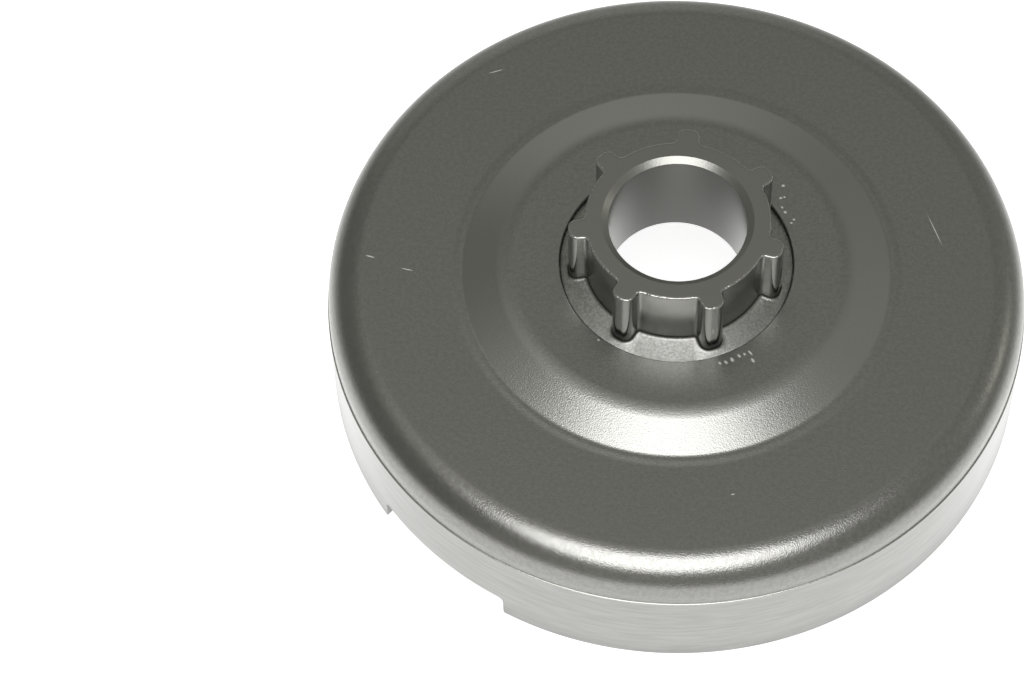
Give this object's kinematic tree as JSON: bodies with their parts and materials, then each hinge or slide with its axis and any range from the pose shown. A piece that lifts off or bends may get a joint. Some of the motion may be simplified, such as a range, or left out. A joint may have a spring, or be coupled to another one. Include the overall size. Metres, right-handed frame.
{
  "type": "clutch drum",
  "caption": "Drawn steel clutch drum for a chain saw: a deep cup with a raised centre, a notched rim and a round-nosed splined hub with a through bore.",
  "frame": {"origin": "on the drum's axis in the plane of the open rim, the face the drum stands on", "axes": "+Z along the axis from the open rim out through the splined hub; the notch in the rim lies 130 degrees clockwise from +X, seen from the hub"},
  "size_m": [0.0822, 0.0822, 0.0288],
  "materials": {
    "drawn_steel": "satin, tumbled, with a turned band down to the rim",
    "hub_steel": "machined and burnished, with bright worn edges"
  },
  "bodies": {
    "root": {"drum_cup": "drawn_steel", "splined_hub": "hub_steel"}
  },
  "joints": []
}
